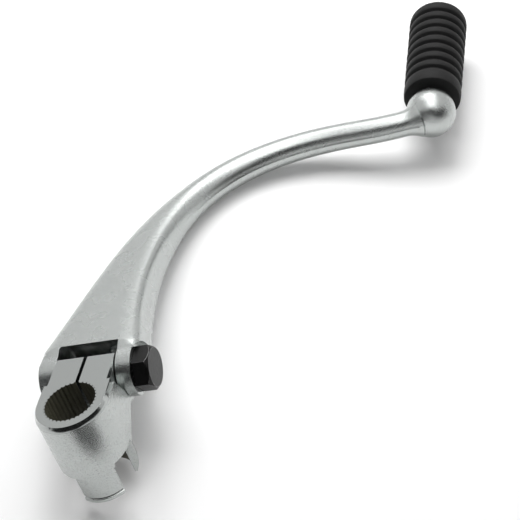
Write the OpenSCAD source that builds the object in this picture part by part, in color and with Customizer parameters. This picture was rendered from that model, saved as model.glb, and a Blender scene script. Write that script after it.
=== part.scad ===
// Folding kick start lever: splined knuckle, forked arm, pivot bolt and ribbed pedal rubber.
// Origin: bore axis at the knuckle's outer face. +Z leaves the engine, +Y runs toward the arm.

/* [Splined bore] */
// Radius at the crests of the splines
spline_crest_r = 8.7; // [7:0.1:9.4]
// Depth of the spline grooves
spline_depth = 0.6; // [0.3:0.1:0.9]
// Number of spline grooves
spline_count = 36; // [24:1:40]
// Share of the pitch that each groove takes at the crests
groove_share = 0.5; // [0.3:0.05:0.6]
// Radius of the plain bore in the tail
tail_bore_r = 9.5; // [9.4:0.1:9.8]

/* [Knuckle] */
// Outer radius of the hub
hub_r = 12.7; // [12:0.1:14]
// Height of the hub
hub_h = 23.3; // [22:0.1:26]
// Radial width of the bevel round the outer face
bevel_w = 0.8; // [0.4:0.1:1.2]
// Height of that bevel
bevel_h = 1.9; // [1:0.1:2.5]
// Distance from the bore axis to the step where the flanks end
flank_y = 9; // [7:0.5:10]
// Half width of the clamp lug between the ears
lug_half_w = 10.7; // [9:0.1:11.5]
// Distance from the bore axis to the back edge of the flat lug top
lug_edge_y = 21.5; // [20:0.1:22.5]
// Slope of the relief behind that edge
relief_deg = 41; // [38:1:44]
// Width of the clamp slit
slit_w = 1.3; // [0.8:0.1:2]
// Radius of the round end of the lug
lug_end_r = 9; // [8:0.1:9.1]

/* [Tail] */
// Overall height of the knuckle
knuckle_h = 37; // [32:0.5:42]
// Outer radius of the front tongue
tongue_r = 10.9; // [10.6:0.1:11.5]
// Direction of the middle of the tongue
tongue_deg = -82; // [-95:1:-75]
// Angle that the tongue spans
tongue_span = 80; // [60:1:90]
// Height of the lip at the foot of the tongue
lip_h = 1.9; // [1.2:0.1:2.5]
// Depth of the groove above the lip
lip_groove = 0.4; // [0.2:0.1:0.6]
// How far the lip stands out from the tongue
lip_out = 0.3; // [0.1:0.1:0.5]
// Outer radius of the rear leg
leg_r = 12.5; // [12:0.1:12.6]
// Direction of the middle of the rear leg
leg_deg = 82; // [75:1:90]
// Angle that the leg spans
leg_span = 142; // [110:1:150]
// Height of the taper at the foot of the leg
leg_taper_h = 6.5; // [4:0.5:9]
// Radius that this taper takes off at the foot
leg_taper_w = 2; // [1:0.1:2.2]
// How far the window beside the tongue runs up into the hub
window_rise = 1.4; // [0.5:0.1:2.5]

/* [Pivot bolt] */
// Distance from the bore axis to the pivot axis
pivot_y = 22.4; // [22.2:0.1:24]
// Depth of the pivot axis below the outer face
pivot_drop = 9.2; // [9.2:0.1:10]
// Turn of the bolt head about its axis
head_turn = 34; // [0:1:59]
// Width of the bolt head across flats
head_af = 14; // [12:0.5:15]
// Thickness of the bolt head
head_t = 5.8; // [4:0.1:7]
// Depth of the chamfer at the corners of the head
head_chamfer = 1.3; // [0.6:0.1:2]
// Radius of the bearing shoulder under the head
shoulder_r = 5.5; // [5:0.1:6.5]
// Radius of the bolt's threaded shank
shank_r = 4; // [3:0.1:4.2]
// Radius of the pilot at the bolt's tip
pilot_r = 3.2; // [2.5:0.1:3.5]
// Radial running clearance of the pivot
pivot_fit = 0.05; // [0.02:0.01:0.1]
// Gap beside the moving faces of the pivot
side_gap = 0.3; // [0.2:0.05:0.6]

/* [Fork] */
// Thickness of the ear under the bolt head
ear_right_t = 5.3; // [4:0.1:6.5]
// Thickness of the ear at the bolt's tip
ear_left_t = 6.2; // [5:0.1:7]
// Radius of the round ear ends
ear_r = 9; // [8.8:0.1:9.6]
// Radius of the hollow crotch about the pivot
crotch_r = 11.4; // [11:0.1:11.8]
// Height of the web's flat face above the knuckle's outer face
web_rise = 1.2; // [0.6:0.1:2]
// Thickness of the web at the fork
web_t = 18.6; // [17:0.1:20]
// Radius of the machined seat under the bolt head
seat_r = 9.4; // [9:0.1:10.5]

/* [Arm] */
// Half width of the web at the fork
web_half_w = 19.4; // [18.4:0.1:20.4]
// Sideways shift of the web's centre line at the fork
web_shift = 0.2; // [0:0.1:1]
// How early the web narrows, 1 for an even taper
taper_w = 3.7; // [2:0.1:5]
// How early the web thins, 1 for an even taper
taper_t = 2.2; // [1:0.1:4]
// Share of the bend over which the flat faces fade into the round rod
flat_share = 0.6; // [0.4:0.05:0.8]
// How much squarer the web is than the rod, 0 for an ellipse
square_add = 4.6; // [1:0.1:6]
// Share by which the web narrows from the parting line to its flat faces
draft = 0.08; // [0:0.01:0.15]
// Radius of the rod after the web
rod_r = 6; // [5:0.1:7]
// Radius of the rod at the knob
rod_end_r = 5.3; // [4.5:0.1:6]
// Sideways reach from the bore axis to the knob
reach = 117.6; // [100:0.5:140]
// Distance along the web from the bore axis to the knob
rise = 160; // [150:0.5:180]
// How far the rod runs short of the knob's own distance
rod_sag = 6.6; // [4:0.1:9]
// Length of the nearly straight stretch before the knob
straight_l = 34; // [30:0.5:60]
// How far up the web the bend starts, as a share of the rod's distance
bend_start = 0.57; // [0.5:0.01:0.8]
// How far along its reach the bend ends
bend_end = 0.1; // [0.05:0.01:0.5]
// Radius of the knob
knob_r = 10.3; // [9.5:0.1:12]

/* [Pedal] */
// Angle of the pedal above the plane of the arm
pedal_lift = 10; // [0:1:15]
// Angle by which the pedal leans outward
pedal_toe = 5.5; // [0:0.5:10]
// Radius of the pedal pin
pin_r = 6; // [5:0.1:6.5]
// Length of the pedal pin beyond the rubber's inner end
pin_l = 45; // [40:1:48]
// Radius of the bead that holds the rubber
bead_r = 7; // [6.6:0.1:8]
// Distance from the knob's centre to the rubber
grip_start = 8.4; // [8:0.1:11]
// Length of the rubber
grip_l = 56; // [54:1:60]
// Radius of the rubber at the knob
grip_r = 11.9; // [11:0.1:13]
// Radius of the rubber at the outer end
grip_end_r = 12.7; // [11.5:0.1:14]
// Width of the plain band next to the knob
band_w = 6.8; // [6:0.1:8]
// Number of grooves
groove_count = 8; // [5:1:8]
// Pitch of the grooves
groove_pitch = 5.6; // [4:0.1:5.7]
// Width of a groove
groove_w = 1.6; // [1:0.1:2.4]
// Depth of a groove
groove_d = 1.5; // [0.8:0.1:2]

/* [Detent] */
// Radius of the detent ball
ball_r = 3; // [2.5:0.1:3.5]
// Sideways place of the ball on the lug
ball_x = 5.6; // [5:0.1:6]
// Depth of the ball's track in the lug
track_d = 1; // [0.6:0.1:1.4]
// Angle of the track below the ball at rest
track_below = 4; // [1:1:10]
// Angle of the track above the ball at rest
track_above = 30; // [20:1:40]
// Diameter of the spring wire
wire_d = 0.8; // [0.6:0.1:1]
// Length of the detent spring
spring_l = 10; // [8:0.5:14]
// Number of spring coils
spring_turns = 6; // [4:1:8]

/* [Hidden] */
$fn = 96;
EPS = 0.01;
OVER = 1;
SLIVER_DEG = 0.7;
spline_root_r = spline_crest_r + spline_depth;
groove_half = PI * spline_crest_r / spline_count * groove_share;
lug_w = 2 * lug_half_w;
ear_in_x = lug_half_w + side_gap;
seat_x = ear_in_x + ear_right_t;
left_x = -ear_in_x - ear_left_t;
head_x = seat_x + side_gap / 2;
pivot_z = -pivot_drop;
web_bottom_z = web_rise - web_t;
mid_z = (web_rise + web_bottom_z) / 2;
web_half_t = web_t / 2;
heel_deg = asin((pivot_z - web_bottom_z) / crotch_r) + 3;
knob = [reach, rise, mid_z];
pocket_w = 5;
ear_room = 0.1;
seat_d = lug_end_r - track_d + ball_r + 0.1;
spring_r = ball_r - wire_d / 2 - 0.2;
ball_bore_r = ball_r + 0.15;
WEB_STEPS = 34;
ROD_STEPS = 14;
SIDES = 32;

// Point on a cubic curve through four control points
function cubic(p, t) =
    pow(1 - t, 3) * p[0] + 3 * pow(1 - t, 2) * t * p[1] + 3 * (1 - t) * t * t * p[2] + pow(t, 3) * p[3];

// Smooth step from 0 to 1 between a and b
function ease(a, b, x) = let (t = max(0, min(1, (x - a) / (b - a)))) t * t * (3 - 2 * t);

bend_x = reach - straight_l;
bend_y = rise - rod_sag;
root_y = pivot_y + 5;
BEND = [[web_shift, root_y], [0, bend_y * bend_start], [bend_x * bend_end, bend_y], [bend_x, bend_y]];
STRAIGHT = [[bend_x, bend_y], [bend_x + straight_l * 0.4, bend_y],
            [bend_x + straight_l * 0.75, bend_y], [reach, rise - 1]];

// Centre line of the arm, from the fork to the knob
PATH = concat(
    [for (i = [0 : WEB_STEPS - 1]) cubic(BEND, i / WEB_STEPS)],
    [for (i = [0 : ROD_STEPS]) cubic(STRAIGHT, i / ROD_STEPS)]);
COUNT = len(PATH);

// Heading of the centre line at station i
function heading(i) =
    let (d = PATH[min(i + 1, COUNT - 1)] - PATH[max(i - 1, 0)])
    i == 0 ? [0, 1] : d / norm(d);

// Half width, half thickness and squareness of the forging at station i
function web_share(i) = max(0, 1 - i / WEB_STEPS);
function flat_at(i) = 1 - ease(0, flat_share, i / WEB_STEPS);
function rod_at(i) = rod_r + (rod_end_r - rod_r) * ease(WEB_STEPS * 0.4, COUNT, i);
function half_w(i) = rod_at(i) + (web_half_w - rod_at(i)) * pow(web_share(i), taper_w);
function half_t(i) = rod_at(i) + (web_half_t - rod_at(i)) * pow(web_share(i), taper_t);
function square_n(i) = 2 + square_add * flat_at(i);

// One cross-section of the forging: a flat-topped oval with a ridge at the parting line
function section(i) =
    let (h = heading(i), side = [h[1], -h[0]], w = half_w(i), t = half_t(i), n = square_n(i))
    [for (k = [0 : SIDES - 1])
        let (a = 360 * k / SIDES, c = cos(a), s = sin(a), v = sign(s) * pow(abs(s), 2 / n),
             u = w * sign(c) * pow(abs(c), 2 / n) * (1 - draft * flat_at(i) * abs(v)))
        [PATH[i][0] + side[0] * u, PATH[i][1] + side[1] * u, mid_z + t * v]];

module groove_prism(h) {
    linear_extrude(h)
        polygon([[spline_crest_r - 0.4, -groove_half * 1.5], [spline_root_r, 0],
                 [spline_crest_r - 0.4, groove_half * 1.5]]);
}

module splined_hole() {
    translate([0, 0, -hub_h - OVER])
        cylinder(r = spline_crest_r, h = hub_h + 2 * OVER);
    for (i = [0 : spline_count - 1])
        rotate([0, 0, (i + 0.5) * 360 / spline_count])
            translate([0, 0, -hub_h - OVER])
                groove_prism(hub_h + 2 * OVER);
}

module hub_body() {
    rotate_extrude()
        polygon([[0, 0], [hub_r - bevel_w, 0], [hub_r, -bevel_h], [hub_r, -hub_h], [0, -hub_h]]);
}

// Solid between two planes across X, from an outline drawn in Y and Z
module across(x0, x1) {
    translate([x0, 0, 0])
        rotate([90, 0, 90])
            linear_extrude(x1 - x0)
                children();
}

module flanks() {
    across(-hub_r, hub_r)
        polygon([[0, -bevel_h], [flank_y, -bevel_h], [flank_y + 6.2, -hub_h * 0.6],
                 [flank_y - 6, -hub_h + EPS], [0, -hub_h + EPS]]);
    across(-hub_r + bevel_w, hub_r - bevel_w)
        polygon([[0, 0], [flank_y, 0], [flank_y, -bevel_h - EPS], [0, -bevel_h - EPS]]);
}

module lug_outline() {
    difference() {
        union() {
            polygon([[0, 0], [pivot_y, 0], [pivot_y, pivot_z - lug_end_r],
                     [pivot_y - 8, pivot_z - lug_end_r], [4, -hub_h], [0, -hub_h]]);
            translate([pivot_y, pivot_z])
                circle(r = lug_end_r);
            translate([pivot_y, pivot_z])
                intersection() {
                    circle(r = crotch_r - side_gap);
                    polygon([[0, 0], 2 * crotch_r * [cos(heel_deg), -sin(heel_deg)], [0, -2 * crotch_r],
                             [-crotch_r, -2 * crotch_r], [-crotch_r, 0]]);
                }
        }
        translate([lug_edge_y, 0])
            rotate(-relief_deg)
                square(2 * lug_end_r);
        translate([-hub_r, 0])
            square(4 * hub_r);
    }
}

// Path of the ball over the lug's round end, as far as it touches
module detent_track() {
    translate([ball_x, pivot_y, pivot_z])
        rotate([0, 90, 0])
            rotate([0, 0, 90 - track_below])
                rotate_extrude(angle = track_below + track_above)
                    translate([seat_d, 0])
                        circle(r = ball_r + 0.1, $fn = 48);
    translate([ball_x, pivot_y, pivot_z])
        for (a = [-track_below, track_above])
            rotate([a, 0, 0])
                translate([0, seat_d, 0])
                    sphere(r = ball_r + 0.1, $fn = 48);
}

// Front tongue of the tail, with a groove and a lip at its foot
module tongue() {
    foot = -knuckle_h;
    rim_r = tongue_r + lip_out;
    rotate([0, 0, tongue_deg - tongue_span / 2])
        rotate_extrude(angle = tongue_span)
            polygon([[tail_bore_r, -hub_h + OVER], [tongue_r, -hub_h + OVER],
                     [tongue_r, foot + lip_h + lip_groove], [tongue_r - lip_groove, foot + lip_h],
                     [rim_r, foot + lip_h - lip_groove], [rim_r, foot + lip_groove],
                     [rim_r - lip_groove, foot], [tail_bore_r, foot]]);
}

// Rear leg of the tail, tapered at its foot
module leg() {
    foot = -knuckle_h;
    rotate([0, 0, leg_deg - leg_span / 2])
        rotate_extrude(angle = leg_span)
            polygon([[tail_bore_r, -hub_h + OVER], [leg_r, -hub_h + OVER],
                     [leg_r, foot + leg_taper_h], [leg_r - leg_taper_w / 4, foot + leg_taper_h / 2],
                     [leg_r - leg_taper_w, foot], [tail_bore_r, foot]]);
}

// Opening between the tongue and the leg, cut a little into the hub
module window() {
    window_from = tongue_deg + tongue_span / 2 + SLIVER_DEG;
    window_to = leg_deg - leg_span / 2 - SLIVER_DEG;
    rotate([0, 0, window_from])
        rotate_extrude(angle = window_to - window_from)
            polygon([[tail_bore_r - OVER, -hub_h - OVER], [2 * hub_r, -hub_h - OVER],
                     [2 * hub_r, -hub_h + window_rise], [tail_bore_r - OVER, -hub_h + window_rise]]);
}

module knuckle() {
    color("silver")
        difference() {
            union() {
                hub_body();
                flanks();
                across(-lug_half_w, lug_half_w)
                    lug_outline();
                tongue();
                leg();
            }
            window();
            splined_hole();
            translate([-slit_w / 2, 0, -knuckle_h - OVER])
                cube([slit_w, 2 * pivot_y, knuckle_h + 2 * OVER]);
            translate([-hub_r - OVER, pivot_y, pivot_z])
                rotate([0, 90, 0])
                    cylinder(r = shank_r + EPS, h = 2 * hub_r + 2 * OVER);
            ear_pocket(lug_half_w);
            ear_pocket(-lug_half_w - pocket_w);
            detent_track();
        }
}

// Room for an ear beside the lug
module ear_pocket(x) {
    translate([x, pivot_y, pivot_z])
        rotate([0, 90, 0])
            cylinder(r = ear_r + side_gap + ear_room, h = pocket_w);
}

module pivot_bolt() {
    corner_r = head_af / 2 / cos(30);
    color("dimgray")
        translate([0, pivot_y, pivot_z])
            rotate([0, 90, 0]) {
                intersection() {
                    translate([0, 0, head_x])
                        rotate([0, 0, head_turn])
                            cylinder(r = corner_r, h = head_t, $fn = 6);
                    translate([0, 0, head_x])
                        rotate_extrude()
                            polygon([[0, -OVER], [corner_r + OVER, -OVER],
                                     [corner_r + OVER, head_t - head_chamfer - OVER],
                                     [corner_r - head_chamfer, head_t], [corner_r - head_chamfer, head_t + OVER],
                                     [0, head_t + OVER]]);
                }
                translate([0, 0, lug_half_w])
                    cylinder(r = shoulder_r, h = head_x - lug_half_w);
                translate([0, 0, -lug_half_w])
                    cylinder(r = shank_r, h = lug_w + EPS);
                translate([0, 0, left_x + 0.4])
                    cylinder(r = pilot_r, h = -lug_half_w - left_x);
            }
}

module forging() {
    rings = [for (i = [0 : COUNT - 1]) section(i)];
    last = COUNT - 1;
    polyhedron(
        points = [for (ring = rings) for (p = ring) p],
        faces = concat(
            [[for (k = [SIDES - 1 : -1 : 0]) k]],
            [for (i = [0 : last - 1]) for (k = [0 : SIDES - 1])
                [i * SIDES + k, i * SIDES + (k + 1) % SIDES,
                 (i + 1) * SIDES + (k + 1) % SIDES, (i + 1) * SIDES + k]],
            [[for (k = [0 : SIDES - 1]) last * SIDES + k]]),
        convexity = 6);
}

module ear_outline() {
    translate([pivot_y, pivot_z])
        circle(r = ear_r);
    polygon([[pivot_y, pivot_z + ear_r], [pivot_y + 6, web_rise], [root_y + 2, web_rise],
             [root_y + 2, web_bottom_z], [pivot_y, pivot_z - ear_r]]);
}

// Turns what follows from the pin's own axis to the pedal's direction at the knob
module at_pedal() {
    translate(knob)
        rotate([0, 0, -pedal_toe])
            rotate([-90 + pedal_lift, 0, 0])
                children();
}

module kick_arm() {
    color("lightgray") {
        difference() {
            union() {
                forging();
                across(left_x, seat_x)
                    ear_outline();
            }
            translate([-ear_in_x, 0, 0])
                rotate([90, 0, 90])
                    linear_extrude(2 * ear_in_x) {
                        translate([pivot_y, pivot_z])
                            circle(r = crotch_r);
                        translate([0, pivot_z - web_t])
                            square([pivot_y, 2 * web_t]);
                    }
            translate([ear_in_x - OVER, pivot_y, pivot_z])
                rotate([0, 90, 0])
                    cylinder(r = shoulder_r + pivot_fit, h = ear_right_t + 2 * OVER);
            translate([left_x - OVER, pivot_y, pivot_z])
                rotate([0, 90, 0])
                    cylinder(r = pilot_r + pivot_fit, h = ear_left_t + 2 * OVER);
            translate([seat_x, pivot_y, pivot_z])
                rotate([0, 90, 0])
                    cylinder(r = seat_r, h = 10);
            translate([left_x - 10, pivot_y, pivot_z])
                rotate([0, 90, 0])
                    cylinder(r = seat_r, h = 10);
            translate([ball_x, pivot_y, pivot_z])
                rotate([-90, 0, 0])
                    cylinder(r = ball_bore_r, h = seat_d + ball_r + spring_l);
        }
        translate(knob)
            sphere(r = knob_r);
        at_pedal() {
            cylinder(r = pin_r, h = grip_start + pin_l);
            translate([0, 0, grip_start + pin_l - 6])
                cylinder(r = bead_r, h = 4);
        }
    }
}

module detent_ball() {
    color("gray")
        translate([ball_x, pivot_y + seat_d, pivot_z])
            sphere(r = ball_r);
}

module detent_spring() {
    steps = 16;
    total = spring_turns * steps;
    sides = 6;
    rise_l = spring_l - wire_d;
    color("gray")
        translate([ball_x, pivot_y + seat_d + ball_r + wire_d / 2, pivot_z])
            rotate([-90, 0, 0])
                polyhedron(
                    points = [for (i = [0 : total]) for (k = [0 : sides - 1])
                        let (a = 360 * i / steps, b = 360 * k / sides, r = spring_r + wire_d / 2 * cos(b))
                        [r * cos(a), r * sin(a), rise_l * i / total + wire_d / 2 * sin(b)]],
                    faces = concat(
                        [[for (k = [sides - 1 : -1 : 0]) k]],
                        [for (i = [0 : total - 1]) for (k = [0 : sides - 1])
                            [i * sides + k, i * sides + (k + 1) % sides,
                             (i + 1) * sides + (k + 1) % sides, (i + 1) * sides + k]],
                        [[for (k = [0 : sides - 1]) total * sides + k]]),
                    convexity = 10);
}

module pedal_rubber() {
    fit = 0.1;
    taper = (grip_end_r - grip_r) / grip_l;
    bead_z = pin_l - 6;
    color([0.15, 0.15, 0.15])
        at_pedal()
            translate([0, 0, grip_start])
                rotate_extrude()
                    difference() {
                        union() {
                            polygon([[0, 0], [grip_r - 1, 0], [grip_r, 1], [grip_end_r, grip_l - 2.5],
                                     [grip_end_r - 2.5, grip_l], [0, grip_l]]);
                        }
                        for (i = [0 : groove_count - 1])
                            let (z = band_w + i * groove_pitch, r = grip_r + taper * z)
                                polygon([[r - groove_d, z], [r + 1, z - 0.4],
                                         [r + 1, z + groove_w + 0.4], [r - groove_d, z + groove_w]]);
                        translate([-1, -1])
                            square([pin_r + fit + 1, pin_l + fit + 1]);
                        translate([0, bead_z - fit])
                            square([bead_r + fit, 4 + 2 * fit]);
                    }
}

knuckle();
pivot_bolt();
kick_arm();
detent_ball();
detent_spring();
pedal_rubber();
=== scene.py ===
import math

import bmesh
import bpy
from mathutils import Matrix, Vector


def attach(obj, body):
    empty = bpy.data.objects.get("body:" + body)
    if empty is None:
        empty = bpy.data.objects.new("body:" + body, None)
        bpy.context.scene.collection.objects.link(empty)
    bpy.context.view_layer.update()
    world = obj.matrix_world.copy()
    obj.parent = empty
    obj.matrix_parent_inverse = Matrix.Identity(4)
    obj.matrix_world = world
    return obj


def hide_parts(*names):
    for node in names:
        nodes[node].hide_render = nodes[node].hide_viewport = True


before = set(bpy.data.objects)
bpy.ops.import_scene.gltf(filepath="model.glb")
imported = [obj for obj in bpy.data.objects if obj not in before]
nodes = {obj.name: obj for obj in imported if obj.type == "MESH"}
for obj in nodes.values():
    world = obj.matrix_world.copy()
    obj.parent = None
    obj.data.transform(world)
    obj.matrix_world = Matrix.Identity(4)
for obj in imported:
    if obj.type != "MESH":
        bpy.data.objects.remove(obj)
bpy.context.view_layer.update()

# the pieces' sizes are in millimetres and degrees, the finishes', camera's and studio's lengths in metres
mm = 0.001

# shader wiring


class Wire:
    # one socket of a material, with the usual operators
    def __init__(self, sheet, socket):
        self.sheet = sheet
        self.socket = socket

    def reckon(self, operation, first, second=None):
        values = {0: first}
        if second is not None:
            values[1] = second
        return self.sheet.add("ShaderNodeMath", {"operation": operation}, values)

    def __add__(self, other):
        return self.reckon("ADD", self, other)

    def __radd__(self, other):
        return self.reckon("ADD", other, self)

    def __sub__(self, other):
        return self.reckon("SUBTRACT", self, other)

    def __rsub__(self, other):
        return self.reckon("SUBTRACT", other, self)

    def __mul__(self, other):
        return self.reckon("MULTIPLY", self, other)

    def __rmul__(self, other):
        return self.reckon("MULTIPLY", other, self)

    def __pow__(self, other):
        return self.reckon("POWER", self, other)

    def __rpow__(self, other):
        return self.reckon("POWER", other, self)

    def __abs__(self):
        return self.reckon("ABSOLUTE", self)

    def least(self, other):
        return self.reckon("MINIMUM", self, other)

    def most(self, other):
        return self.reckon("MAXIMUM", self, other)

    def ramp(self, low, high):
        # 0 below low, 1 above high, soft between
        settings = {"interpolation_type": "SMOOTHSTEP", "clamp": True}
        values = {"Value": self, "From Min": low, "From Max": high, "To Min": 0.0, "To Max": 1.0}
        return self.sheet.add("ShaderNodeMapRange", settings, values)

    def rampOver(self, limits):
        # the same between two limits in millimetres
        return self.ramp(limits[0] * mm, limits[1] * mm)


class Sheet:
    # the node tree of one material or world
    def __init__(self, owner):
        owner.use_nodes = True
        self.tree = owner.node_tree
        self.tree.nodes.clear()

    def add(self, kind, settings=None, values=None, out=0):
        node = self.tree.nodes.new(kind)
        for name, value in (settings or {}).items():
            setattr(node, name, value)
        for name, value in (values or {}).items():
            if isinstance(value, Wire):
                self.tree.links.new(value.socket, node.inputs[name])
            else:
                node.inputs[name].default_value = value
        return Wire(self, node.outputs[out]) if len(node.outputs) else None


def blendColours(sheet, share, first, second):
    return sheet.add("ShaderNodeMix", {"data_type": "RGBA"}, {0: share, 6: first, 7: second}, out=2)


def rgba(red, green=None, blue=None):
    return (red, red if green is None else green, red if blue is None else blue, 1.0)


steelTint = (0.96, 1.0, 0.98)


def steel(tone):
    # a faintly green grey
    return rgba(*(tone * share for share in steelTint))


def splitPlace(sheet, place):
    parts = sheet.add("ShaderNodeSeparateXYZ", {}, {"Vector": place}).socket.node
    return [Wire(sheet, parts.outputs[k]) for k in range(3)]


def rayKinds(sheet):
    # two wires, 1 for camera rays and 1 for glossy rays
    path = sheet.add("ShaderNodeLightPath").socket.node
    return [Wire(sheet, path.outputs[name]) for name in ("Is Camera Ray", "Is Glossy Ray")]


def addNoise(sheet, place, scale, detail=3.0, roughness=0.5):
    values = {"Vector": place, "Scale": scale, "Detail": detail, "Roughness": roughness}
    return sheet.add("ShaderNodeTexNoise", {}, values)


def closeSheet(sheet, height, values):
    # the surface, with a bump from a height in metres
    bump = sheet.add("ShaderNodeBump", {}, {"Height": height, "Distance": 1.0, "Strength": 1.0})
    shader = sheet.add("ShaderNodeBsdfPrincipled", {}, {**values, "Normal": bump})
    sheet.add("ShaderNodeOutputMaterial", {}, {"Surface": shader})


# finishes

chromeLook = {
    "colour": 0.5,
    "darkSpeck": 0.3,
    "speckRange": (0.3, 0.46),
    "machinedColour": 0.44,
    "boreColour": (0.085, 0.082, 0.055),
    "slotColour": (0.32, 0.6),
    "stainScale": 240.0,
    "stainRange": (0.35, 0.65),
    # near-white tone of the painted highlight on the chrome pieces' rounded edges
    "paintedGlintColour": 0.95,
    "edgeRoughness": 0.16,
    "roughness": 0.27,
    "roughnessSpread": 0.1,
    "machinedRoughness": 0.2,
    "boreAddedRoughness": 0.42,
    "slotAddedRoughness": 0.1,
    "grainScale": 2500.0,
    "grainRoughness": 0.6,
    "grainDepth": 0.00008,
    "waveScale": 90.0,
    "waveDepth": 0.00003,
    "toolMarkScale": 5200.0,
    "toolMarkDepth": 0.000004,
}

wearAndGlintLook = {
    "darkShare": 0.45,
    "rubScale": 700.0,
    "rubRange": (0.35, 0.6),
    "rubDepth": 0.00001,
    "roughnessSpread": 0.1,
}

oxideLook = {
    "colour": (0.003, 0.014),
    "metallic": 0.6,
    "specular": 0.5,
    "roughness": 0.32,
    "roughnessSpread": 0.15,
    "grainScale": 900.0,
    "grainDepth": 0.00003,
    "rubbedColour": 0.5,
    "rubbedRoughness": 0.22,
}

rubberLook = {
    "colour": (0.004, 0.010),
    "metallic": 0.0,
    "specular": 0.25,
    "roughness": 0.55,
    "roughnessSpread": 0.12,
    "grainScale": 1200.0,
    "grainDepth": 0.00005,
}


def knuckleZones(sheet, place):
    # machined outer face, and the dark splined bore
    k = knuckleSizes
    x, y, z = splitPlace(sheet, place)
    radius = (x * x + y * y) ** 0.5
    bore = (1 - radius.rampOver(k["boreZone"])) * (1 - z.rampOver(k["boreTopZone"]))
    outerFace = z.rampOver(k["faceZone"]) * (1 - bore)
    return outerFace, bore, 0.0, radius


def armZones(sheet, place):
    # spot-faced ears, and the milled slot between them
    a = armSizes
    x, y, z = splitPlace(sheet, place)
    fromPivotY = y - a["pivot"][0] * mm
    fromPivotZ = z - a["pivot"][1] * mm
    radius = (fromPivotY * fromPivotY + fromPivotZ * fromPivotZ) ** 0.5
    nearPivot = 1 - radius.rampOver(a["seatZone"])
    earFaces = nearPivot * (x.rampOver(a["rightFaceZone"]) + (1 - x.rampOver(a["leftFaceZone"])))
    slot = (1 - abs(x).rampOver(a["slotWallZone"])) * (1 - radius.rampOver(a["slotFloorZone"]))
    return earFaces, 0.0, slot, radius


def makeForgedChrome(name, zones=None):
    look = chromeLook
    material = bpy.data.materials.new(name)
    sheet = Sheet(material)
    place = sheet.add("ShaderNodeTexCoord", out=3)
    grain = addNoise(sheet, place, look["grainScale"], roughness=look["grainRoughness"])
    wave = addNoise(sheet, place, look["waveScale"], detail=2.0)
    speck = grain.ramp(*look["speckRange"])
    colour = blendColours(sheet, speck, steel(look["darkSpeck"]), steel(look["colour"]))
    height = grain * look["grainDepth"] + wave * look["waveDepth"]
    rough = look["roughness"] + (wave - 0.5) * look["roughnessSpread"]
    metal = 1.0
    if zones:
        machined, bore, slot, radius = zones(sheet, place)
        rings = {"W": radius, "Scale": look["toolMarkScale"], "Detail": 2.0}
        marks = sheet.add("ShaderNodeTexNoise", {"noise_dimensions": "1D"}, rings)
        cut = (machined + bore + slot).least(1.0)
        height = height * (1 - cut) + marks * look["toolMarkDepth"] * cut
        colour = blendColours(sheet, machined, colour, steel(look["machinedColour"]))
        colour = blendColours(sheet, bore, colour, rgba(*look["boreColour"]))
        stain = addNoise(sheet, place, look["stainScale"]).ramp(*look["stainRange"])
        dark, pale = look["slotColour"]
        stained = blendColours(sheet, stain, steel(dark), steel(pale))
        colour = blendColours(sheet, slot, colour, stained)
        added = bore * look["boreAddedRoughness"] + slot * look["slotAddedRoughness"]
        rough = rough * (1 - cut) + (look["machinedRoughness"] + added) * cut
        metal = 1 - bore
    closeSheet(sheet, height, {"Base Color": colour, "Metallic": metal, "Roughness": rough})
    return material


def makeWearAndGlintEdge(name, tone, roughness):
    # rubbed bright along the edges: bare metal worn through on the bolt, and on the chrome pieces a painted
    # highlight along the edges
    look = wearAndGlintLook
    material = bpy.data.materials.new(name)
    sheet = Sheet(material)
    rub = addNoise(sheet, sheet.add("ShaderNodeTexCoord", out=3), look["rubScale"])
    share = rub.ramp(*look["rubRange"])
    colour = blendColours(sheet, share, rgba(tone * look["darkShare"]), rgba(tone))
    rough = roughness + rub * look["roughnessSpread"]
    closeSheet(sheet, rub * look["rubDepth"], {"Base Color": colour, "Metallic": 1.0, "Roughness": rough})
    return material


def makeBlack(name, look):
    # a dark finish with a fine grain, for the bolt and the rubber
    material = bpy.data.materials.new(name)
    sheet = Sheet(material)
    grain = addNoise(sheet, sheet.add("ShaderNodeTexCoord", out=3), look["grainScale"])
    dark, pale = look["colour"]
    values = {
        "Base Color": blendColours(sheet, grain, rgba(dark), rgba(pale)),
        "Metallic": look["metallic"],
        "Roughness": look["roughness"] + grain * look["roughnessSpread"],
        "Specular IOR Level": look["specular"],
    }
    closeSheet(sheet, grain * look["grainDepth"], values)
    return material


# modelling helpers


def clearSelection():
    if bpy.context.object and bpy.context.object.mode != "OBJECT":
        bpy.ops.object.mode_set(mode="OBJECT")
    bpy.ops.object.select_all(action="DESELECT")


def takeUp(piece):
    clearSelection()
    piece.select_set(True)
    bpy.context.view_layer.objects.active = piece


def settle(piece, name):
    # the piece's place goes into its mesh
    takeUp(piece)
    bpy.ops.object.transform_apply(location=True, rotation=True, scale=True)
    piece.name = name
    piece.data.name = name
    return piece


def finishWith(piece, kind, **settings):
    takeUp(piece)
    modifier = piece.modifiers.new(kind.lower(), kind)
    for name, value in settings.items():
        setattr(modifier, name, value)
    bpy.ops.object.modifier_apply(modifier=modifier.name)


def carve(piece, tool, operation="DIFFERENCE"):
    finishWith(piece, "BOOLEAN", operation=operation, object=tool, solver="EXACT")
    bpy.data.objects.remove(tool)


def addRod(radius, start, end, sides, name="rod"):
    # a cylinder between two points, given in millimetres
    first = Vector(start) * mm
    last = Vector(end) * mm
    along = last - first
    clearSelection()
    bpy.ops.mesh.primitive_cylinder_add(vertices=sides, radius=radius * mm, depth=along.length)
    rod = bpy.context.object
    rod.rotation_mode = "QUATERNION"
    rod.rotation_quaternion = along.to_track_quat("Z", "Y")
    rod.location = (first + last) / 2
    return settle(rod, name)


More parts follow.
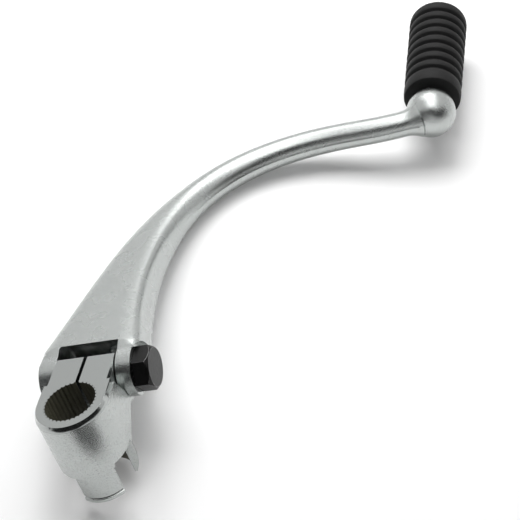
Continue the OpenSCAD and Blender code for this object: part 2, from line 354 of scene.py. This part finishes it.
def addBlock(low, high):
    clearSelection()
    bpy.ops.mesh.primitive_cube_add(size=1)
    block = bpy.context.object
    block.location = (Vector(low) + Vector(high)) / 2 * mm
    block.scale = (Vector(high) - Vector(low)) * mm
    return settle(block, "block")


def ease(low, high, value):
    share = max(0.0, min(1.0, (value - low) / (high - low)))
    return share * share * (3 - 2 * share)


def cubic(points, t):
    shares = ((1 - t) ** 3, 3 * (1 - t) ** 2 * t, 3 * (1 - t) * t * t, t ** 3)
    return sum((point * share for point, share in zip(points, shares)), Vector((0, 0, 0)))


def mergeClose(piece, gap=0.004):
    # merges points that lie within gap, in millimetres, and drops the empty faces
    takeUp(piece)
    bpy.ops.object.mode_set(mode="EDIT")
    bpy.ops.mesh.select_all(action="SELECT")
    bpy.ops.mesh.remove_doubles(threshold=gap * mm)
    bpy.ops.mesh.dissolve_degenerate(threshold=gap * mm)
    bpy.ops.object.mode_set(mode="OBJECT")


def roundEdges(piece, angle, width, segments, wanted, finishIndex=-1):
    # bevels the edges sharper than angle, in degrees, for which wanted(point) holds
    takeUp(piece)
    bpy.ops.object.mode_set(mode="EDIT")
    mesh = bmesh.from_edit_mesh(piece.data)
    layers = mesh.edges.layers.float
    weights = layers.get("bevel_weight_edge") or layers.new("bevel_weight_edge")
    for edge in mesh.edges:
        sharp = len(edge.link_faces) == 2 and edge.calc_face_angle(0.0) > math.radians(angle)
        middlePoint = (edge.verts[0].co + edge.verts[1].co) / 2 / mm
        edge[weights] = 1.0 if sharp and wanted(middlePoint) else 0.0
    bmesh.update_edit_mesh(piece.data)
    bpy.ops.object.mode_set(mode="OBJECT")
    finishWith(piece, "BEVEL", width=width * mm, segments=segments, limit_method="WEIGHT",
               material=finishIndex)


def smoothOver(piece, angle):
    # smooth shading up to angle, in degrees
    takeUp(piece)
    bpy.ops.object.shade_smooth_by_angle(angle=math.radians(angle))
    finishWith(piece, "WEIGHTED_NORMAL", keep_sharp=True, weight=100)


def copyNode(nodeName, pieceName, gap=0.00001, flatAngle=0.6):
    # a merged copy of a CAD node's mesh, to be dressed; gap in metres, flatAngle in degrees
    source = nodes[nodeName]
    piece = bpy.data.objects.new(pieceName, source.data.copy())
    bpy.context.scene.collection.objects.link(piece)
    takeUp(piece)
    bpy.ops.object.mode_set(mode="EDIT")
    bpy.ops.mesh.select_all(action="SELECT")
    bpy.ops.mesh.remove_doubles(threshold=gap)
    bpy.ops.mesh.dissolve_limited(angle_limit=math.radians(flatAngle))
    bpy.ops.object.mode_set(mode="OBJECT")
    return piece


def paint(piece, *finishes):
    piece.data.materials.clear()
    for finish in finishes:
        piece.data.materials.append(finish)


def dress(piece, body, slot, *replaced):
    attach(piece, body)
    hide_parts(*replaced)


# kick arm

armSizes = {
    "pivot": (22.4, -9.2),
    "rootY": 27.4,
    "rootMargin": 2,
    "webShift": 0.2,
    "bendStart": 0.57,
    "bendEnd": 0.1,
    "reach": 117.6,
    "rise": 160.0,
    "rodSag": 6.6,
    "straight": 34.0,
    "straightPulls": (0.4, 0.75),
    "straightDrop": 1,
    "webHalfWidth": 19.4,
    "webRise": 1.2,
    "webThickness": 18.6,
    "taperWidth": 3.7,
    "taperThickness": 2.2,
    "flatShare": 0.6,
    "squareAdd": 4.6,
    "draft": 0.08,
    "rodRadius": 6.0,
    "rodEndRadius": 5.3,
    "rodTaper": (0.4, 1.44),
    "rodTaperShare": 0.41,
    "knobRadius": 10.3,
    "knobFillet": 9.0,
    "knobSides": (72, 40),
    "ridge": 0.18,
    "earRadius": 9.0,
    "earIn": 11.0,
    "seatX": 16.3,
    "leftX": -17.2,
    "crotchRadius": 11.4,
    "slotFillet": 0.9,
    "neckLength": 6.0,
    "neckCuts": 15,
    "seatRadius": 9.4,
    "shoulderHole": 5.55,
    "pilotHole": 3.25,
    "edgeWidth": 0.25,
    "edgeAngle": 35,
    "forkEnd": 40,
    "forkInside": 10.9,
    "holeRims": (4.4, 1.5),
    "smoothAngle": 30,
    "seatZone": (9.42, 9.47),
    "rightFaceZone": (16.2, 16.28),
    "leftFaceZone": (-17.18, -17.1),
    "slotWallZone": (11.02, 11.1),
    "slotFloorZone": (11.42, 11.5),
    "sides": 64,
    "webRings": 80,
    "rodRings": 68,
}


def knobFlare(distance):
    # the fillet between rod and knob, as an addition to the rod's radius
    a = armSizes
    fillet = a["knobFillet"]
    outer = a["knobRadius"] + fillet
    level = a["rodEndRadius"] + fillet
    start = math.sqrt(outer ** 2 - level ** 2)
    end = start * a["knobRadius"] / outer
    along = max(0.0, start - max(distance, end))
    return fillet - math.sqrt(fillet ** 2 - along ** 2) - max(0.0, end - distance)


def armStations():
    # centre, heading, half width, half thickness and flatness of each ring
    a = armSizes
    bendX = a["reach"] - a["straight"]
    bendY = a["rise"] - a["rodSag"]
    midZ = a["webRise"] - a["webThickness"] / 2
    bend = [Vector((a["webShift"], a["rootY"], midZ)), Vector((0, bendY * a["bendStart"], midZ)),
            Vector((bendX * a["bendEnd"], bendY, midZ)), Vector((bendX, bendY, midZ))]
    straight = [Vector((bendX, bendY, midZ))]
    straight += [Vector((bendX + a["straight"] * pull, bendY, midZ)) for pull in a["straightPulls"]]
    straight.append(Vector((a["reach"], a["rise"] - a["straightDrop"], midZ)))
    root = a["pivot"][0] - a["earRadius"] - a["rootMargin"]
    places = [(Vector((a["webShift"], root, midZ)), 0.0, 0.0)]
    places += [(cubic(bend, i / a["webRings"]), i / a["webRings"], 0.0) for i in range(a["webRings"])]
    places += [(cubic(straight, i / a["rodRings"]), 1.0, i / a["rodRings"]) for i in range(a["rodRings"] + 1)]
    stations = []
    for i, (centre, t, u) in enumerate(places):
        before = places[max(i - 1, 0)][0]
        after = places[min(i + 1, len(places) - 1)][0]
        heading = Vector((0, 1, 0)) if i < 2 else (after - before).normalized()
        taper = 1 - t
        flat = 1 - ease(0, a["flatShare"], t)
        narrowing = ease(*a["rodTaper"], t + u * a["rodTaperShare"])
        rod = a["rodRadius"] + (a["rodEndRadius"] - a["rodRadius"]) * narrowing
        rod += knobFlare((centre - Vector((a["reach"], a["rise"], midZ))).length)
        halfWidth = rod + (a["webHalfWidth"] - rod) * taper ** a["taperWidth"]
        halfThick = rod + (a["webThickness"] / 2 - rod) * taper ** a["taperThickness"]
        stations.append((centre, heading, halfWidth, halfThick, flat))
    return stations


def placeRing(ring, station):
    # a squared oval where the arm is flat, with a parting ridge on both sides
    centre, heading, halfWidth, halfThick, flat = station
    power = 2 / (2 + armSizes["squareAdd"] * flat)
    side = Vector((heading.y, -heading.x, 0))
    count = len(ring)
    for k, vert in enumerate(ring):
        angle = 2 * math.pi * k / count
        c = math.cos(angle)
        s = math.sin(angle)
        level = math.copysign(abs(s) ** power, s) if abs(s) > 1e-6 else 0.0
        across = halfWidth * math.copysign(abs(c) ** power, c) * (1 - armSizes["draft"] * flat * abs(level))
        if k % (count // 2) == 0:
            across += math.copysign(armSizes["ridge"], c)
        lift = halfThick * level
        vert.co = (centre + side * across + Vector((0, 0, lift))) * mm


def makeForging():
    # a circle is extruded ring by ring along the centre line
    stations = armStations()
    clearSelection()
    bpy.ops.mesh.primitive_circle_add(vertices=armSizes["sides"], radius=0.01, fill_type="NGON")
    arm = bpy.context.object
    bpy.ops.object.mode_set(mode="EDIT")
    mesh = bmesh.from_edit_mesh(arm.data)
    mesh.verts.ensure_lookup_table()
    ring = list(mesh.verts)
    placeRing(ring, stations[0])
    for station in stations[1:]:
        bmesh.update_edit_mesh(arm.data)
        bpy.ops.mesh.extrude_region_move()
        mesh = bmesh.from_edit_mesh(arm.data)
        mesh.verts.ensure_lookup_table()
        ring = [vert for vert in mesh.verts if vert.select]
        placeRing(ring, station)
    bmesh.update_edit_mesh(arm.data)
    bpy.ops.mesh.select_all(action="SELECT")
    bpy.ops.mesh.normals_make_consistent(inside=False)
    bpy.ops.object.mode_set(mode="OBJECT")
    return settle(arm, "kickArm")


def makeKickArm():
    # the tools reach well past the arm, so their outer sizes are free
    a = armSizes
    pivotY, pivotZ = a["pivot"]
    ear = a["earRadius"]
    neckEnd = pivotY + a["neckLength"]

    def pivotRod(radius, low, high, sides=128):
        return addRod(radius, (low, pivotY, pivotZ), (high, pivotY, pivotZ), sides)

    def atFork(point):
        # the fork's edges without the rims of the bolt's holes
        fromPivot = math.hypot(point.y - pivotY, point.z - pivotZ)
        rim, spread = a["holeRims"]
        return point.y < a["forkEnd"] and abs(point.x) > a["forkInside"] and abs(fromPivot - rim) > spread

    arm = makeForging()
    shape = pivotRod(ear, -20, 24)
    neck = addBlock((-25, pivotY, -1), (30, neckEnd, 1))
    bpy.ops.object.mode_set(mode="EDIT")
    bpy.ops.mesh.select_all(action="SELECT")
    bpy.ops.mesh.subdivide(number_cuts=a["neckCuts"])
    bpy.ops.object.mode_set(mode="OBJECT")
    for vert in neck.data.vertices:
        share = ease(pivotY, neckEnd, vert.co.y / mm)
        top = pivotZ + ear + (a["webRise"] - pivotZ - ear) * share
        bottom = pivotZ - ear + (a["webRise"] - a["webThickness"] - pivotZ + ear) * share
        vert.co.z = ((top + bottom) / 2 + (top - bottom) / 2 * vert.co.z / mm) * mm
    carve(shape, neck, "UNION")
    carve(shape, addBlock((-40, neckEnd - 0.1, -40), (160, 260, 30)), "UNION")
    carve(arm, shape, "INTERSECT")
    clearSelection()
    sides, rings = a["knobSides"]
    bpy.ops.mesh.primitive_uv_sphere_add(segments=sides, ring_count=rings, radius=a["knobRadius"] * mm)
    knob = bpy.context.object
    knob.location = Vector((a["reach"], a["rise"], a["webRise"] - a["webThickness"] / 2)) * mm
    carve(arm, settle(knob, "knob"), "UNION")
    crotch = pivotRod(a["crotchRadius"], -a["earIn"], a["earIn"])
    roundEdges(crotch, 60, a["slotFillet"], 8, lambda point: point.x < 0)
    carve(arm, crotch)
    carve(arm, addBlock((-a["earIn"], 0, pivotZ - 20), (a["earIn"], pivotY, pivotZ + 20)))
    carve(arm, pivotRod(a["seatRadius"], a["seatX"], a["seatX"] + 9))
    carve(arm, pivotRod(a["seatRadius"], a["leftX"] - 9, a["leftX"], 96))
    carve(arm, pivotRod(a["shoulderHole"], a["earIn"] - 1, a["seatX"] + 1, 64))
    carve(arm, pivotRod(a["pilotHole"], a["leftX"] - 1, -a["earIn"] + 1, 64))
    paint(arm, forgedArm, paintedGlintEdge)
    # the fork's rounded edges take the second finish, the painted edge highlight
    roundEdges(arm, a["edgeAngle"], a["edgeWidth"], 2, atFork, 1)
    mergeClose(arm)
    smoothOver(arm, a["smoothAngle"])
    return arm


forgedArm = makeForgedChrome("forgedArm", armZones)
forgedChrome = makeForgedChrome("forgedChrome")
# a painted highlight: a near-white rubbed colour on the chrome pieces' rounded edges, standing in for the
# glints there
paintedGlintEdge = makeWearAndGlintEdge("paintedGlintEdge", chromeLook["paintedGlintColour"], chromeLook["edgeRoughness"])
kickArm = makeKickArm()
dress(kickArm, "arm_body", "chrome_forging", "kick_arm")
print("kick arm made")

# knuckle

knuckleSizes = {
    "edgeWidth": 0.22,
    "edgeAngle": 30,
    "boreClear": 9.9,
    "smoothAngle": 32,
    "faceZone": (-2.0, -1.92),
    "boreZone": (9.5, 9.6),
    "boreTopZone": (-0.12, -0.02),
}


def makeKnuckle():
    # only the edges outside the splined bore are rounded
    k = knuckleSizes
    knuckle = copyNode("knuckle", "splinedKnuckle")
    paint(knuckle, makeForgedChrome("forgedKnuckle", knuckleZones), paintedGlintEdge)
    # the rounded edges take the second finish, the painted edge highlight
    roundEdges(knuckle, k["edgeAngle"], k["edgeWidth"], 2,
               lambda point: math.hypot(point.x, point.y) > k["boreClear"], 1)
    smoothOver(knuckle, k["smoothAngle"])
    return knuckle


splinedKnuckle = makeKnuckle()
dress(splinedKnuckle, "knuckle_body", "chrome_forging", "knuckle")
print("knuckle made")

# pivot bolt

boltSizes = {
    "edgeWidth": 0.18,
    "edgeAngle": 20,
    "headStart": 16.0,
    "smoothAngle": 25,
}


def makeBolt():
    # only the head's edges are rounded
    b = boltSizes
    bolt = copyNode("pivot_bolt", "pivotBolt")
    rubbed = makeWearAndGlintEdge("rubbedOxide", oxideLook["rubbedColour"], oxideLook["rubbedRoughness"])
    paint(bolt, makeBlack("blackOxide", oxideLook), rubbed)
    roundEdges(bolt, b["edgeAngle"], b["edgeWidth"], 2, lambda point: point.x > b["headStart"], 1)
    smoothOver(bolt, b["smoothAngle"])
    return bolt


pivotBolt = makeBolt()
dress(pivotBolt, "knuckle_body", "bolt_black", "pivot_bolt")
print("bolt made")

# pedal rubber

gripSizes = {
    "knob": (117.6, 160.0, -8.1),
    "lift": 10.0,
    "toe": 5.5,
    "start": 8.4,
    "length": 53.8,
    "radius": 11.9,
    "endRadius": 12.7,
    "endRound": 2.6,
    "pinRadius": 6.1,
    "pinLength": 45.1,
    "firstEdge": 1.0,
    "firstRound": ((0.9, 0.0), (0.3, 0.25)),
    "band": 6.8,
    "grooves": 8,
    "pitch": 5.6,
    "grooveWidth": 1.6,
    "grooveDepth": 1.5,
    "grooveRound": (0.25, 0.3),
    "ribRound": 0.35,
    "ribEase": (0.05, 0.04),
    "crown": 0.12,
    "crownPlaces": (0.3, 0.5, 0.7),
    "dimple": ((5.0, 0.0), (4.4, 0.25), (3.8, 0.6), (0.0, 0.6)),
    "steps": 128,
    "mergeGap": 0.002,
    "smoothAngle": 40,
}


def gripWall(place):
    # the radius of the ribs at a distance from the inner end
    g = gripSizes
    slope = (g["endRadius"] - g["radius"]) / g["length"]
    return g["radius"] + slope * place


def gripProfile():
    # radius and distance from the inner end, in millimetres
    g = gripSizes
    corner = g["ribRound"]
    dip, step = g["ribEase"]
    floorRise, floorRun = g["grooveRound"]
    points = [(g["pinRadius"], 0.0)]
    points += [(g["radius"] - inward, place) for inward, place in g["firstRound"]]
    points.append((gripWall(g["firstEdge"]), g["firstEdge"]))
    edges = [g["firstEdge"]]
    for i in range(g["grooves"]):
        groove = g["band"] + i * g["pitch"]
        edges += [groove - corner, groove + g["grooveWidth"] + corner]
    edges.append(g["length"] - g["endRound"])
    for i in range(0, len(edges), 2):
        low, high = edges[i], edges[i + 1]
        if i > 0:
            points += [(gripWall(low) - corner, low + step), (gripWall(low) - dip, low + corner)]
        for share in g["crownPlaces"]:
            place = low + (high - low) * share
            points.append((gripWall(place) + g["crown"] * 4 * share * (1 - share), place))
        if i + 2 < len(edges):
            points += [(gripWall(high) - dip, high - corner), (gripWall(high) - corner, high - step)]
            floorLow, floorHigh = high + corner, edges[i + 2] - corner
            bottom = gripWall(high) - g["grooveDepth"]
            points += [(bottom + floorRise, floorLow), (bottom, floorLow + floorRun),
                       (bottom, floorHigh - floorRun), (bottom + floorRise, floorHigh)]
    end = g["length"]
    bend = g["endRound"]
    for angle in range(0, 91, 15):
        turned = math.radians(angle)
        points.append((g["endRadius"] - bend + bend * math.cos(turned), end - bend + bend * math.sin(turned)))
    points += [(radius, end - depth) for radius, depth in g["dimple"]]
    return points


def gripLean():
    # turns +Z to the direction of the pedal
    g = gripSizes
    toe = Matrix.Rotation(math.radians(-g["toe"]), 4, "Z")
    return toe @ Matrix.Rotation(math.radians(-90 + g["lift"]), 4, "X")


def makeGrip():
    # the profile, spun about its axis
    g = gripSizes
    inner = [(0.0, g["pinLength"]), (g["pinRadius"], g["pinLength"])]
    clearSelection()
    bpy.ops.mesh.primitive_plane_add(size=0.01)
    grip = bpy.context.object
    bpy.ops.object.mode_set(mode="EDIT")
    bpy.ops.mesh.delete(type="VERT")
    mesh = bmesh.from_edit_mesh(grip.data)
    verts = [mesh.verts.new((radius * mm, 0.0, place * mm)) for radius, place in inner + gripProfile()]
    for first, second in zip(verts, verts[1:]):
        mesh.edges.new((first, second))
    bmesh.update_edit_mesh(grip.data)
    bpy.ops.mesh.select_all(action="SELECT")
    bpy.ops.mesh.spin(steps=g["steps"], angle=2 * math.pi, center=(0, 0, 0), axis=(0, 0, 1))
    bpy.ops.mesh.select_all(action="SELECT")
    bpy.ops.mesh.remove_doubles(threshold=g["mergeGap"] * mm)
    bpy.ops.mesh.normals_make_consistent(inside=False)
    bpy.ops.object.mode_set(mode="OBJECT")
    grip.data.transform(Matrix.Translation((0, 0, g["start"] * mm)))
    grip.data.transform(gripLean())
    grip.data.transform(Matrix.Translation(Vector(g["knob"]) * mm))
    settle(grip, "ribbedGrip")
    paint(grip, makeBlack("mouldedRubber", rubberLook))
    smoothOver(grip, g["smoothAngle"])
    return grip


ribbedGrip = makeGrip()
dress(ribbedGrip, "arm_body", "black_rubber", "pedal_rubber")
print("grip made")

# pedal pin

pinSizes = {
    "radius": 6.0,
    "length": 45.0,
    "sides": 64,
    "smoothAngle": 30,
}


def makePin():
    # from the knob's centre to just short of the end of the rubber's hollow
    p = pinSizes
    centre = Vector(gripSizes["knob"])
    along = (gripLean() @ Vector((0, 0, 1))).normalized()
    end = centre + along * (gripSizes["start"] + p["length"])
    pin = addRod(p["radius"], centre, end, p["sides"], "pedalPin")
    smoothOver(pin, p["smoothAngle"])
    return pin


pedalPin = makePin()
paint(pedalPin, forgedChrome)
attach(pedalPin, "arm_body")
print("pin made")

for name in ("detent_ball", "detent_spring"):
    paint(nodes[name], forgedChrome)
print("detent painted")

# camera

viewing = {
    "place": (0.1554, -0.2472, 0.2199),
    "right": (0.957, 0.1147, -0.2664),
    "up": (0.1459, 0.6034, 0.784),
    "lens": 76.15,
    "sensor": 36.0,
    "nearest": 0.01,
}
right = Vector(viewing["right"]).normalized()
up = Vector(viewing["up"])
up = (up - up.dot(right) * right).normalized()
back = right.cross(up)
camera = bpy.data.objects.new("camera", bpy.data.cameras.new("camera"))
camera.data.sensor_width = viewing["sensor"]
camera.data.lens = viewing["lens"]
camera.data.clip_start = viewing["nearest"]
turn = Matrix((right, up, back)).transposed().to_4x4()
camera.matrix_world = Matrix.Translation(Vector(viewing["place"])) @ turn
bpy.context.scene.collection.objects.link(camera)
bpy.context.scene.camera = camera
print("camera placed")

# floor, light and background

studio = {
    "middle": (0.04, 0.09, -0.01),
    "floorNormal": (0.218, -0.231, 0.948),
    "floorRadius": 1.6,
    "floorGap": 0.0002,
    "floorFade": (0.2, 0.34),
    "floorColour": 0.8,
    "floorLift": 0.1,
    "floorGloss": 0.1,
    "worldLight": 0.22,
    "worldGloss": 0.8,
    "cardColour": 0.02,
}

# each lamp's side, distance, size and power, and the rays that don't see it
lamps = {
    "leftLamp": ((-0.01, 0.24, 0.96), 0.8, (0.6, 0.6), 7.0, "visible_glossy"),
    "rightLamp": ((0.456, 0.183, 0.841), 0.8, (0.6, 0.6), 2.8, "visible_glossy"),
    "stripLamp": ((0.27, 0.03, 0.96), 0.75, (1.2, 0.48), 3.7, "visible_diffuse"),
    "softLamp": ((-0.02, 0.55, 0.83), 0.75, (0.5, 0.3), 0.7, "visible_diffuse"),
}

# dark cloths round the middle: side, distance and radius
wideCards = {
    "leftCard": ((-0.86, -0.51, 0.08), 0.5, 0.22),
    "rightCard": ((0.93, -0.31, 0.13), 0.45, 0.15),
    "bendCard": ((0.72, -0.65, 0.2), 0.42, 0.15),
}

# dark cloths near the knuckle: place, facing and radius
nearCards = {
    "hubCard": ((0.029, -0.047, -0.034), studio["floorNormal"], 0.031),
    "earCard": ((-0.08, -0.13, 0.17), (0.32, 0.61, -0.72), 0.1),
    "bevelCardLeft": ((-0.03, -0.075, 0.01), (0.35, 0.93, 0.0), 0.04),
    "bevelCardFront": ((0.014, -0.062, 0.006), (-0.2, 0.97, 0.0), 0.03),
    "bevelCardRight": ((0.045, -0.066, 0.015), (-0.6, 0.8, 0.0), 0.03),
    "bevelCardSide": ((0.075, -0.03, 0.015), (-0.92, 0.38, 0.0), 0.03),
}

# the cloth behind the camera: how far back and up, and its radius
cameraCard = (0.04, 0.03, 0.2)

middle = Vector(studio["middle"])


def addDisc(name, radius, sides, place, facing, finish):
    clearSelection()
    bpy.ops.mesh.primitive_circle_add(vertices=sides, radius=radius, fill_type="NGON")
    disc = bpy.context.object
    disc.name = name
    disc.rotation_mode = "QUATERNION"
    disc.rotation_quaternion = facing.to_track_quat("Z", "Y")
    disc.location = place
    disc.data.materials.append(finish)
    return disc


def makePaper():
    # lit a little by itself, and clear to the camera from below and far out
    material = bpy.data.materials.new("whitePaper")
    sheet = Sheet(material)
    isCamera, isGlossy = rayKinds(sheet)
    lift = isCamera * studio["floorLift"] + isGlossy * studio["floorGloss"]
    paper = sheet.add("ShaderNodeBsdfDiffuse", {}, {"Color": rgba(studio["floorColour"])})
    glow = sheet.add("ShaderNodeEmission", {}, {"Color": rgba(1.0), "Strength": lift})
    lit = sheet.add("ShaderNodeAddShader", {}, {0: paper, 1: glow})
    behind = sheet.add("ShaderNodeNewGeometry", out=6)
    x, y = splitPlace(sheet, sheet.add("ShaderNodeTexCoord", out=3))[:2]
    hidden = behind.most(((x * x + y * y) ** 0.5).ramp(*studio["floorFade"]))
    clear = sheet.add("ShaderNodeBsdfTransparent")
    surface = sheet.add("ShaderNodeMixShader", {}, {0: hidden * isCamera, 1: lit, 2: clear})
    sheet.add("ShaderNodeOutputMaterial", {}, {"Surface": surface})
    return material


def makeCloth():
    material = bpy.data.materials.new("darkCloth")
    sheet = Sheet(material)
    cloth = sheet.add("ShaderNodeBsdfDiffuse", {}, {"Color": rgba(studio["cardColour"])})
    sheet.add("ShaderNodeOutputMaterial", {}, {"Surface": cloth})
    return material


def makeFloor():
    # just below the lowest point of the solids
    facing = Vector(studio["floorNormal"]).normalized()
    lowest = min(facing.dot(v.co) for node in nodes.values() for v in node.data.vertices)
    place = middle + facing * (lowest - studio["floorGap"] - facing.dot(middle))
    floor = addDisc("floor", studio["floorRadius"], 96, place, facing, makePaper())


def makeWorld():
    # white to the camera, bright to reflections, dim as a light
    world = bpy.data.worlds.new("studio")
    bpy.context.scene.world = world
    sheet = Sheet(world)
    isCamera, isGlossy = rayKinds(sheet)
    unseen = (1 - isCamera) * (1 - isGlossy)
    strength = isCamera + isGlossy * studio["worldGloss"] + unseen * studio["worldLight"]
    backdrop = sheet.add("ShaderNodeBackground", {}, {"Color": rgba(1.0), "Strength": strength})
    sheet.add("ShaderNodeOutputWorld", {}, {"Surface": backdrop})


def addLamp(name, side, distance, size, power, unseenBy):
    lamp = bpy.data.lights.new(name, "AREA")
    lamp.shape = "RECTANGLE"
    lamp.size, lamp.size_y = size
    lamp.energy = power
    holder = bpy.data.objects.new(name, lamp)
    direction = Vector(side).normalized()
    holder.rotation_mode = "QUATERNION"
    holder.rotation_quaternion = direction.to_track_quat("Z", "Y")
    holder.location = middle + direction * distance
    bpy.context.scene.collection.objects.link(holder)
    setattr(holder, unseenBy, False)


def addCard(name, place, facing, radius):
    # a dark cloth that only reflections show
    card = addDisc(name, radius, 48, place, facing, darkCloth)
    card.visible_camera = False
    card.visible_shadow = False
    card.visible_diffuse = False


makeFloor()
makeWorld()
for name, values in lamps.items():
    addLamp(name, *values)
darkCloth = makeCloth()
cardBack, cardUp, cardRadius = cameraCard
addCard("cameraCard", camera.location + back * cardBack + up * cardUp, back, cardRadius)
for name, (side, distance, radius) in wideCards.items():
    facing = Vector(side).normalized()
    addCard(name, middle + facing * distance, facing, radius)
for name, (place, facing, radius) in nearCards.items():
    addCard(name, Vector(place), Vector(facing), radius)

bpy.context.scene.view_settings.view_transform = "Standard"
print("studio ready")
